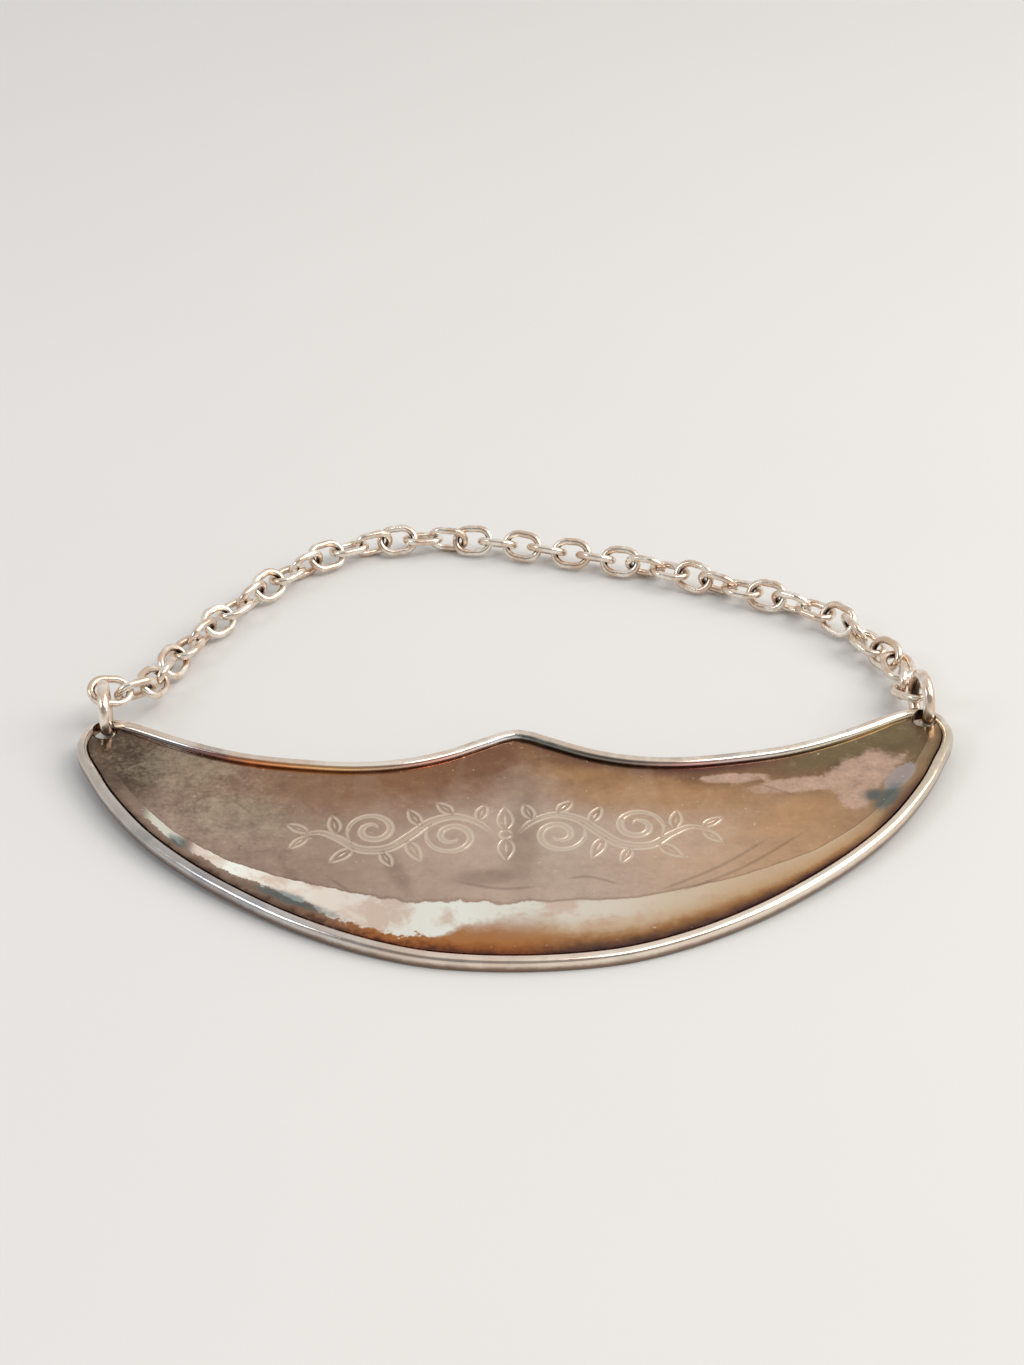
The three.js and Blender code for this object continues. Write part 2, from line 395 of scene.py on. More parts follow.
class GeometrySketch(Sketch):
    """A geometry tree with named inputs, which ends by painting its shape."""

    def __init__(self, name: str, sizes: Sequence[str], counts: Sequence[str]) -> None:
        """Makes the tree and names its inputs.

        Args:
            name: The tree's name.
            sizes: Its inputs that are numbers.
            counts: Its inputs that are whole numbers.
        """
        tree = bpy.data.node_groups.new(name, "GeometryNodeTree")
        tree.interface.new_socket("Geometry", in_out="OUTPUT", socket_type="NodeSocketGeometry")
        kinds = {"Geometry": "Geometry", **dict.fromkeys(sizes, "Float"), **dict.fromkeys(counts, "Int")}
        for label, kind in {**kinds, "Finish": "Material"}.items():
            tree.interface.new_socket(label, in_out="INPUT", socket_type=f"NodeSocket{kind}")
        super().__init__(tree)
        self.given = {socket.name: Value(self, socket) for socket in self.node("NodeGroupInput").outputs}
        self.here = self.out("GeometryNodeInputPosition")

    def circle(self, count: Number, radius: Number = 1.0) -> Value:
        """A circle of count points about the origin."""
        inputs = {"Resolution": count, "Radius": radius}
        return self.out("GeometryNodeCurvePrimitiveCircle", inputs, mode="RADIUS")

    def moved(self, shape: Value, x: Value, y: Value) -> Value:
        """The shape with its points put at x and y."""
        spot = self.out("ShaderNodeCombineXYZ", {0: x, 1: y})
        return self.out("GeometryNodeSetPosition", {"Geometry": shape, "Position": spot})

    def stored(self, shape: Value, name: str, value: Value) -> Value:
        """The shape with a number kept on each of its points."""
        inputs = {"Geometry": shape, "Name": name, "Value": value}
        return self.out("GeometryNodeStoreNamedAttribute", inputs, data_type="FLOAT", domain="POINT")

    def captured(self, shape: Value, name: str) -> tuple[Value, Value]:
        """Keeps each point's present place for use after it moves.

        Args:
            shape: The shape.
            name: What the place is called.

        Returns:
            The shape, and the place.
        """
        keep = self.node("GeometryNodeCaptureAttribute", domain="POINT")
        keep.capture_items.new("VECTOR", name)
        self.feed(keep.inputs["Geometry"], shape)
        self.feed(keep.inputs[name], self.here)
        return Value(self, keep.outputs["Geometry"]), Value(self, keep.outputs[name])

    def swept(self, path: Value, section: Value, girth: Number = 1.0) -> Value:
        """A section swept along a path, thicker or thinner by its girth."""
        return self.out("GeometryNodeCurveToMesh", {"Curve": path, "Profile Curve": section, "Scale": girth})

    def close(self, shape: Value) -> Tree:
        """Shades a shape smooth, makes it real and paints it.

        Args:
            shape: What the tree makes.

        Returns:
            The finished tree.
        """
        shape = self.out("GeometryNodeSetShadeSmooth", {"Geometry": shape})
        shape = self.out("GeometryNodeRealizeInstances", {"Geometry": shape})
        shape = self.out("GeometryNodeSetMaterial", {"Geometry": shape, "Material": self.given["Finish"]})
        self.node("NodeGroupOutput", {0: shape})
        return self.tree


class ShaderSketch(Sketch):
    """A material's nodes, with the mixing that these finishes need."""

    def __init__(self, name: str) -> None:
        """Makes a material with a Principled shader and an output.

        Args:
            name: The material's name.
        """
        self.material = bpy.data.materials.new(name)
        self.material.use_nodes = True
        super().__init__(self.material.node_tree)
        self.shader = self.node("ShaderNodeBsdfPrincipled")
        self.node("ShaderNodeOutputMaterial", {0: Value(self, self.shader.outputs[0])})
        self.place = self.out("ShaderNodeTexCoord", output="Object")

    def x_mm(self) -> Value:
        """The distance to the right of the middle, in millimetres."""
        return self.split(self.place)[0] / MM

    def turned(self, degrees: float, stretch: float) -> Value:
        """Object coordinates turned about Z and scaled along X."""
        inputs = {"Rotation": (0, 0, math.radians(degrees)), "Scale": (stretch, 1.0, 1.0)}
        return self.out("ShaderNodeMapping", {"Vector": self.place, **inputs})

    def noise(
        self, size: float, detail: int, rough: float = 0.55, place: Value | None = None, twist: float = 0.0
    ) -> Value:
        """Makes noise of a given coarseness.

        Args:
            size: How many millimetres across its largest features are.
            detail: How many finer octaves are added.
            rough: How strong the finer octaves are.
            place: Coordinates in place of the piece's own.
            twist: The distortion.

        Returns:
            The noise, about 0.5 on average.
        """
        inputs = {"Vector": place or self.place, "Scale": 1 / (size * MM)}
        inputs |= {"Detail": detail, "Roughness": rough, "Distortion": twist}
        return self.out("ShaderNodeTexNoise", inputs, "Fac")

    def attribute(self, name: str) -> Value:
        """A number that the piece's mesh carries."""
        return self.out("ShaderNodeAttribute", output="Fac", attribute_name=name)

    def mix(self, share: Number, low: Value | Colour, high: Value | Colour, way: str = "MIX") -> Value:
        """Two colours mixed by a share."""
        return self.out("ShaderNodeMix", {0: share, 6: low, 7: high}, 2, data_type="RGBA", blend_type=way)

    def ramp(self, share: Value, run: Sequence[tuple[float, Colour]]) -> Value:
        """Makes a run of colours.

        Args:
            share: How far along the run a place is, 0 to 1.
            run: The colours and where on the run they stand.

        Returns:
            The colour.
        """
        made = self.node("ShaderNodeValToRGB", {0: share})
        elements = made.color_ramp.elements
        while len(elements) < len(run):
            elements.new(0.5)
        for element, (at, colour) in zip(elements, run):
            element.position = at
            element.color = (*colour, 1.0)
        return Value(self, made.outputs[0])

    def along(self, x: Value, run: Stops) -> Value:
        """Makes colours that change from the left tip to the right one.

        Args:
            x: Millimetres to the right of the middle.
            run: The colours and the x at which they stand.

        Returns:
            The colour.
        """
        low, high = run[0][0], run[-1][0]
        share = self.math("DIVIDE", x - low, high - low, clamp=True)
        return self.ramp(share, [((at - low) / (high - low), colour) for at, colour in run])

    def relief(self, *layers: tuple[Value, float]) -> None:
        """Adds bump layers, one over another.

        Args:
            *layers: A height and its depth in millimetres for each.
        """
        under = {}
        for height, depth in layers:
            inputs = {"Strength": 1.0, "Distance": depth * MM, "Height": height}
            under = {"Normal": self.out("ShaderNodeBump", inputs | under)}
        self.feed(self.shader.inputs["Normal"], under["Normal"])

    def finish(self, colour: Value, roughness: Number, metallic: Number = 1.0) -> bpy.types.Material:
        """Feeds the shader.

        Args:
            colour: The base colour.
            roughness: The roughness.
            metallic: How much of the surface is bare metal.

        Returns:
            The material.
        """
        for name, value in (("Base Color", colour), ("Roughness", roughness), ("Metallic", metallic)):
            self.feed(self.shader.inputs[name], value)
        return self.material


# Finishes


def rgb(*shade: int) -> Colour:
    """A screen colour, 0 to 255, as the linear numbers that a shader takes."""
    parts = [part / 255 for part in shade]
    return tuple(c / 12.92 if c <= 0.04045 else ((c + 0.055) / 1.055) ** 2.4 for c in parts)


def stops(*rows: tuple[float, int, int, int]) -> Stops:
    """Places and their colours, from rows of a place and a screen colour."""
    return tuple((at, rgb(*shade)) for at, *shade in rows)


@dataclass(frozen=True)
class TarnishedFace:
    """Old silver sheet, toned grey-brown to straw, with a painted pale reflection band in the cove, painted
    shade under the top rim and bright cuts, partly a painted highlight.
    """

    body: Stops = stops(
        (-32, 128, 106, 92), (-25, 172, 148, 132), (-14, 174, 148, 132), (-4, 202, 177, 160),
        (4, 202, 179, 162), (12, 208, 177, 152), (21, 196, 156, 120), (29, 148, 116, 88),
    )
    shaded: Stops = stops(
        (-31, 92, 76, 64), (-22, 156, 128, 108), (-10, 152, 112, 84), (-1, 134, 96, 74),
        (5, 164, 122, 84), (14, 166, 124, 88), (21, 134, 104, 80), (28, 122, 104, 78),
    )
    reflection_band: Stops = stops(
        (-28, 196, 214, 192), (-23, 228, 216, 206), (-19, 244, 248, 238), (-14, 230, 218, 206),
        (-5, 238, 240, 230), (3, 226, 218, 204), (11, 222, 206, 184), (21, 208, 180, 144),
    )
    tip_foot: Stops = stops((0, 88, 68, 56), (0.15, 132, 108, 92), (0.4, 158, 134, 118), (1, 150, 128, 112))
    left_foot: Stops = stops((0, 98, 58, 42), (0.1, 152, 90, 50), (0.26, 182, 122, 72), (1, 184, 156, 136))
    right_foot: Stops = stops(
        (0, 70, 50, 50), (0.1, 112, 78, 58), (0.24, 166, 118, 76), (0.44, 204, 166, 124), (1, 216, 188, 156)
    )
    reflection_band_holds: tuple[tuple[float, float], ...] = (
        (0.05, 0.0), (0.07, 0.85), (0.1, 0.85), (0.112, 0.05), (0.125, 0.9),
        (0.55, 1.0), (0.66, 0.7), (0.8, 0.3), (0.9, 0.0),
    )
    reflection_band_half: float = 30.0
    rose: Colour = rgb(208, 176, 156)
    olive: Colour = rgb(128, 112, 82)
    lichen: Colour = rgb(178, 168, 144)
    slate: Colour = rgb(176, 164, 162)
    teal: Colour = rgb(64, 100, 106)
    soot: Colour = rgb(84, 68, 56)
    smoke: Colour = rgb(146, 122, 106)
    plum: Colour = rgb(104, 74, 66)
    gold: Colour = rgb(198, 154, 112)
    cut: Colour = rgb(226, 208, 188)

    def patch(self, s: ShaderSketch, tone: str, ragged: Value, edge: float) -> Value:
        """How strongly a tone shows: its blots on the mesh, frayed by noise."""
        return s.span(s.attribute(f"tone_{tone}") + ragged, 0.5 - edge / 2, 0.5 + edge / 2)

    def held(self, s: ShaderSketch, x_mm: Value) -> Value:
        """Says how strongly the painted reflection band shows along the lower curve.

        Args:
            s: The material's sketch.
            x_mm: Millimetres to the right of the middle.

        Returns:
            The strength, 0 to 1.
        """
        share = s.math("DIVIDE", x_mm + self.reflection_band_half, 2 * self.reflection_band_half, clamp=True)
        made = s.node("ShaderNodeFloatCurve", {"Value": share})
        points = made.mapping.curves[0].points
        for at, level in self.reflection_band_holds:
            points.new(at, level)
        points[0].location = (0.0, 0.0)
        points[-1].location = (1.0, 0.0)
        made.mapping.update()
        return Value(s, made.outputs[0])

    def material(self) -> bpy.types.Material:
        """Builds the finish."""
        s = ShaderSketch("toned_silver_plate")
        cloud = s.noise(7.0, 5, 0.55, twist=0.4) - 0.5
        fray = s.noise(1.5, 7, 0.68) - 0.5
        grain = s.noise(0.34, 5, 0.7) - 0.5
        streak = s.noise(1.6, 6, 0.6, s.turned(-8, 0.16)) - 0.5
        x_mm = s.x_mm()
        # The whole face, darker under the top edge
        x = x_mm + cloud * 9.0
        under_top = s.attribute("under_top") + cloud * 5.0 + fray * 2.4
        colour = s.mix(s.span(under_top, 1.2, 7.6, 1.0, 0.0), s.along(x, self.body), s.along(x, self.shaded))
        # Painted shade: plum darkening just under the top rim, over the right half
        rim_shade_span = s.span(x, 0.5, 4.0) * s.span(x, 15.0, 21.0, 1.0, 0.25)
        colour = s.mix(s.span(under_top, 0.2, 3.2, 0.72, 0.0) * rim_shade_span, colour, self.plum)
        loose, soft = fray * 0.9, fray * 0.35
        for tone, paint, ragged, edge, most in (
            ("gold", self.gold, soft, 0.9, 0.5),
            ("smoke", self.smoke, soft, 0.8, 0.55),
            ("soot", self.soot, loose, 0.6, 0.8),
            ("olive", self.olive, soft, 0.6, 0.8),
            ("lichen", self.lichen, (fray + grain) * 1.7, 0.9, 0.42),
            ("rose", self.rose, loose, 0.3, 0.8),
            ("plum", self.plum, soft, 0.7, 0.75),
        ):
            colour = s.mix(self.patch(s, tone, ragged, edge) * most, colour, paint)
        tip = s.math("MAXIMUM", s.span(x_mm, -24, -12, 1.0, 0.3), s.attribute("tone_rose") * 0.8)
        mottle = (fray * 1.5 + grain * 0.9) * tip + streak * 0.3 + 1.0
        grey = s.out("ShaderNodeCombineColor", dict.fromkeys(range(3), mottle))
        colour = s.mix(1.0, colour, grey, "MULTIPLY")
        # The painted pale reflection band in the cove, with a thin darker line along its edge, and the
        # orange-brown foot below it
        cove = s.attribute("cove_share")
        side = s.span(x_mm, -1.5, 4.5)
        here = x_mm + fray * 2.5
        depth = cove + fray * s.span(here, -9, -2, 1.0, 0.35)
        foot = s.mix(s.span(x, -17, -9), s.ramp(depth, self.tip_foot), s.ramp(depth, self.left_foot))
        foot = s.mix(side, foot, s.ramp(depth, self.right_foot))
        flushed = s.span(s.noise(2.8, 5, 0.6, twist=0.3), 0.46, 0.62, 0.0, 0.7)
        painted_reflection = s.mix(flushed, s.along(x, self.reflection_band), self.rose)
        dip = s.span(here, -6.5, -4.0) * s.span(here, 1, 4, 0.14, -0.04)
        above_line = depth - (s.span(here, -16, -13, 0.46, 0.24) + dip)
        shown = s.span(above_line, 0.0, s.span(here, -7.0, 1.5, 0.07, 0.6)) * self.held(s, x_mm)
        edge = cove + fray * s.span(side, 0, 1, 0.3, 0.12)
        in_reflection_band = s.span(edge, 0.985, 1.015, 1.0, 0.0) * s.span(x_mm, 21, 27, 1.0, 0.25)
        in_reflection_band = in_reflection_band * s.span(here, -29.5, -26.8, 0.1, 1.0)
        colour = s.mix(in_reflection_band, colour, s.mix(shown, foot, painted_reflection))
        line = s.span(edge, 1.0, 1.02) * s.span(edge, 1.02, 1.08, 1.0, 0.0)
        colour = s.mix(line * 0.3, colour, self.soot)
        # Stains over the painted reflection band, then knocks, specks and cuts
        colour = s.mix(self.patch(s, "slate", soft, 0.16) * 0.8, colour, self.slate)
        colour = s.mix(self.patch(s, "teal", fray * 1.3, 0.6) * 0.7, colour, self.teal)
        colour = s.mix(s.span(s.attribute("scored"), 0.1, 1.0, 0.0, 0.3), colour, self.soot)
        colour = s.mix(s.span(s.noise(0.42, 2, 0.5), 0.7, 0.76, 0.0, 0.5), colour, self.cut)
        # The cuts are paled, partly for the bare metal in them and partly as a painted highlight of cuts
        # catching the light
        cut = s.attribute("engraved")
        colour = s.mix(s.span(cut, 0.1, 0.9, 0.0, 0.75), colour, self.cut)
        hair = s.noise(0.5, 3, 0.6, s.turned(24, 0.06))
        s.relief((hair, 0.0025), (grain, 0.003), (cloud, 0.05))
        # Where the painted reflection band shows, the face is partly less metallic, more so towards the left
        diffuse_band = shown * in_reflection_band * s.span(x_mm, -20, -8, 0.65, 0.2)
        return s.finish(colour, s.span(fray + cut * 0.5, -0.25, 0.5, 0.11, 0.26), 1.0 - diffuse_band)


@dataclass(frozen=True)
class WornBorder:
    """A silver border wire, bright where it is handled, with painted shade along its foot and tarnish tints
    with painted reflections on its sides.
    """

    bright: Colour = rgb(240, 230, 218)
    blush: Colour = rgb(216, 190, 170)
    slate: Colour = rgb(168, 164, 156)
    foot: Colour = rgb(126, 100, 82)
    inner: Stops = stops(
        (-32, 150, 132, 116), (-25, 112, 110, 116), (-22, 150, 92, 84), (-19, 252, 158, 86),
        (-14, 255, 200, 132), (-9, 196, 160, 138), (-6, 240, 176, 158), (-1, 236, 238, 236),
        (1, 104, 112, 106), (8, 128, 120, 112), (13, 230, 180, 172), (18, 226, 216, 206),
        (28, 218, 206, 178), (32, 150, 136, 96),
    )
    near_tint_and_reflection: Stops = stops(
        (-32, 188, 182, 174), (-26, 150, 150, 154), (-21, 136, 144, 158), (-16, 176, 178, 184),
        (-11, 206, 194, 184), (-3, 236, 214, 198), (6, 244, 228, 210), (14, 252, 240, 224),
        (25, 240, 222, 200), (32, 188, 176, 152),
    )

    def material(self) -> bpy.types.Material:
        """Builds the finish."""
        s = ShaderSketch("worn_silver_border")
        drift = s.noise(4.0, 4, 0.6)
        fine = s.noise(0.6, 7, 0.62)
        loose = fine - 0.5
        colour = s.mix(s.span(drift, 0.42, 0.62, 0, 0.75), self.bright, self.blush)
        colour = s.mix(s.span(s.noise(2.6, 4), 0.53, 0.68, 0, 0.6), colour, self.slate)
        x = s.x_mm() + loose * 3.0
        # Near side: its own tints, with painted reflection, bluish towards the left tip and whiter towards
        # the right
        far = s.attribute("far_side")
        colour = s.mix(s.span(far, 0.3, 0.7, 0.6, 0.0), colour, s.along(x, self.near_tint_and_reflection))
        # Inner wall of the top run: tarnish tints with painted reflection of the orange face and painted
        # highlights
        wall = s.span(s.attribute("across"), 0.2, 0.4) * far
        colour = s.mix(wall * 0.9, colour, s.along(x, self.inner))
        # Painted shade: the lower wall is darkened, as if it mirrored a dark floor
        rise = s.attribute("rise") + loose * 0.3
        colour = s.mix(s.span(rise, 0.24, 0.62, 0.88, 0.0), colour, self.foot)
        scratch = s.noise(0.25, 3, 0.6, s.turned(65, 0.15))
        s.relief((scratch, 0.002), (fine, 0.005), (drift, 0.02))
        return s.finish(colour, s.span(fine, 0.25, 0.75, 0.1, 0.24))


@dataclass(frozen=True)
class PolishedWire:
    """Warm polished silver wire, with painted shade in the crooks, where loops hang in one another."""

    name: str
    bright: Colour = rgb(246, 237, 225)
    warm: Colour = rgb(220, 196, 175)
    crook_shade_colour: Colour = rgb(66, 50, 41)
    roughness: float = 0.13

    def material(self) -> bpy.types.Material:
        """Builds the finish."""
        s = ShaderSketch(self.name)
        drift = s.noise(1.7, 4, 0.6)
        fine = s.noise(0.3, 6, 0.65)
        colour = s.mix(s.span(drift, 0.38, 0.6), self.bright, self.warm)
        crook_shade = s.attribute("crook_shade") + (fine - 0.5) * 0.5
        # Painted shade in the crooks: the inner side near each loop's ends is darkened
        colour = s.mix(s.span(crook_shade, 0.25, 0.9, 0, 0.94), colour, self.crook_shade_colour)
        s.relief((fine, 0.0015), (drift, 0.008))
        return s.finish(colour, s.span(fine, 0.25, 0.75, self.roughness * 0.8, self.roughness * 1.9))


@dataclass(frozen=True)
class PaleFloor:
    """Plain pale paper."""

    colour: Colour = (0.71, 0.70, 0.685)

    def material(self) -> bpy.types.Material:
        """Builds the finish."""
        s = ShaderSketch("pale_floor")
        tone = s.mix(s.noise(40.0, 3), self.colour, tuple(c * 0.97 for c in self.colour))
        return s.finish(tone, 0.9, 0.0)


# Meshes and objects


def in_scene(name: str, data: bpy.types.ID) -> bpy.types.Object:
    """Makes an object of some data and puts it in the scene.

    Args:
        name: The object's name.
        data: Its mesh, lamp or camera.

    Returns:
        The object.
    """
    made = bpy.data.objects.new(name, data)
    bpy.context.scene.collection.objects.link(made)
    return made


def add_piece(name: str, mesh: Mesh, body: str, node: str) -> bpy.types.Object:
    """Puts a finished mesh in the scene in place of a CAD node.

    Args:
        name: The piece's name.
        mesh: Its mesh, in metres in the frame.
        body: The CAD body that it rides on.
        node: The CAD node that it stands for.

    Returns:
        The piece.
    """
    mesh.name = name
    piece = in_scene(name, mesh)
    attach(piece, body)
    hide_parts(node)
    LOG.info("%s: %d faces, on %s, for %s", name, len(mesh.polygons), body, node)
    return piece


def points_of(mesh: Mesh) -> Array:
    """A mesh's points, one row each."""
    return np.array([point.co for point in mesh.vertices])


def mark(mesh: Mesh, name: str, values: Array) -> None:
    """Keeps a number on each of a mesh's points, under a name that a finish reads."""
    layer = mesh.attributes.new(name, "FLOAT", "POINT")
    layer.data.foreach_set("value", values.astype(np.float32))


def signed_volume(mesh: Mesh) -> float:
    """Works out the volume inside a closed mesh.

    Args:
        mesh: The mesh.

    Returns:
        The volume, below zero where the faces point inwards.
    """
    mesh.calc_loop_triangles()
    tri = np.zeros(len(mesh.loop_triangles) * 3, int)
    mesh.loop_triangles.foreach_get("vertices", tri)
    a, b, c = points_of(mesh)[tri.reshape(-1, 3)].transpose(1, 0, 2)
    return float((a * np.cross(b, c)).sum() / 6)


def kept(holder: bpy.types.Object) -> Mesh:
    """Keeps what an object's modifiers make as a plain mesh, and removes the object.

    Args:
        holder: The object with its modifiers.

    Returns:
        The new mesh.
    """
    shown = holder.evaluated_get(bpy.context.evaluated_depsgraph_get())
    mesh = bpy.data.meshes.new_from_object(shown)
    holder.modifiers.clear()
    bpy.data.objects.remove(holder)
    return mesh


def grown(tree: Tree, base: Mesh, values: dict[str, object]) -> Mesh:
    """Runs a geometry tree once and turns its result to face outwards.

    Args:
        tree: The geometry tree.
        base: The mesh that goes into it.
        values: Its inputs by name.

    Returns:
        The new mesh.
    """
    holder = in_scene("holder", base)
    modifier = holder.modifiers.new("build", "NODES")
    modifier.node_group = tree
    sockets = {s.name: s.identifier for s in tree.interface.items_tree if s.in_out == "INPUT"}
    for name, value in values.items():
        modifier[sockets[name]] = value
    mesh = kept(holder)
    if signed_volume(mesh) < 0:
        mesh.flip_normals()
    return mesh


# The label


@dataclass
class Cut:
    """One line cut in the face."""

    path: Array
    depth: float = 0.045
    half_width: float = 0.16
    polish: float = 1.0

    def sizes(self) -> Array:
        """Depth, half width and polish on each of its segments, all of them less towards its ends."""
        step = np.arange(len(self.path) - 1)
        thin = np.clip(0.45 + np.minimum(step, step[::-1]) / max(4.0, len(self.path) * 0.18), 0, 1)
        return np.stack([thin * self.depth, (0.4 + 0.6 * thin) * self.half_width, thin * self.polish], 1)


@dataclass
class ScrollOrnament:
    """A traditional leaf and scroll flourish, mirrored about its middle."""

    middle: tuple[float, float] = (-1.0, 1.15)
    stem: tuple[tuple[float, float], ...] = (
        (0.95, 0.2), (1.9, 1.3), (3.5, 2.0), (5.2, 1.5), (6.6, 0.1),
        (8.2, -1.25), (10.1, -1.35), (11.7, -0.2), (13.0, 0.5), (14.4, 0.3),
    )
    stem_swell: float = 0.34
    curls: tuple[tuple[float, ...], ...] = (
        (3.75, -0.1, 2.0, 0.42, 40, -560), (9.35, 0.7, 1.95, 0.4, -42, 560),
    )
    curl_swell: float = 0.2
    leaves: tuple[Blot, ...] = (
        (1.9, 1.6, 1.35, 3.3, 0.42), (3.7, 2.3, 4.9, 3.55, 0.4), (6.0, 1.1, 6.9, 2.9, 0.4),
        (6.9, -0.5, 5.9, -2.7, 0.44), (8.7, -1.6, 7.9, -3.2, 0.36), (10.7, -1.25, 12.3, -2.7, 0.44),
        (11.9, 0.4, 12.3, 2.4, 0.42), (13.9, 0.55, 15.5, 1.5, 0.34), (13.9, 0.1, 15.2, -1.2, 0.34),
    )
    petals: tuple[Blot, ...] = ((0, 0.4, 0, 3.0, 0.55), (0, -0.4, 0, -2.8, 0.55))
    bud: float = 0.42

    def leaf(self, shape: Blot) -> list[Array]:
        """Draws a leaf.

        Args:
            shape: Its base, its tip and how far each edge bulges.

        Returns:
            Its two edges and its vein.
        """
        base, tip, belly = np.array(shape[0:2]), np.array(shape[2:4]), shape[4]
        side = np.array([base[1] - tip[1], tip[0] - base[0]])
        side = side / np.linalg.norm(side)
        t = np.linspace(0, 1, 14)[:, None]
        spine = base + (tip - base) * t
        bulge = belly * np.sin(math.pi * t**0.8)
        return [spine + side * bulge, spine - side * bulge, spine[2:10]]

    def curl(self, shape: Sequence[float]) -> Array:
        """Draws a spiral.

        Args:
            shape: Its middle, its outer and inner radii, its first angle and how far it winds.

        Returns:
            Its points, from the outer end in.
        """
        x, y, outer, inner, first, wind = shape
        t = np.linspace(0, 1, 90)
        angle = np.radians(first + wind * t)
        radius = outer + (inner - outer) * t**0.85
        return np.stack([x + radius * np.cos(angle), y + radius * np.sin(angle)], axis=1)

    def cuts(self) -> list[Cut]:
        """Every cut of the ornament, in the label's plane."""
        stem = evenly(smooth_line(self.stem, Flow.OPEN, 12), 120)
        swell = self.stem_swell * np.sin(math.pi * np.linspace(0.04, 0.98, 120))[:, None] ** 0.6
        side = left_of(stem)
        half = [Cut(stem + side * swell), Cut(stem - side * swell), Cut(stem[6:-6], 0.02, 0.3, 0.6)]
        for shape in self.curls:
            line = self.curl(shape)
            taper = self.curl_swell * np.sin(math.pi * np.linspace(0, 1, len(line)))[:, None]
            half += [Cut(line + left_of(line) * taper), Cut(line - left_of(line) * taper)]
            half.append(Cut(line[8:-8], 0.02, 0.2, 0.6))
        for shape in self.leaves:
            edges = self.leaf(shape)
            half += [Cut(edges[0]), Cut(edges[1]), Cut(edges[2], 0.04, 0.1, 0.8)]
        mirrored = [Cut(c.path * (-1, 1), c.depth, c.half_width, c.polish) for c in half]
        middle = [Cut(line, 0.06, 0.14) for shape in self.petals for line in self.leaf(shape)]
        round_bud = np.linspace(0, 2 * math.pi, 24)
        middle.append(Cut(np.stack([self.bud * np.cos(round_bud), self.bud * np.sin(round_bud)], axis=1)))
        everything = half + mirrored + middle
        for cut in everything:
            cut.path = cut.path + np.array(self.middle)
        return everything


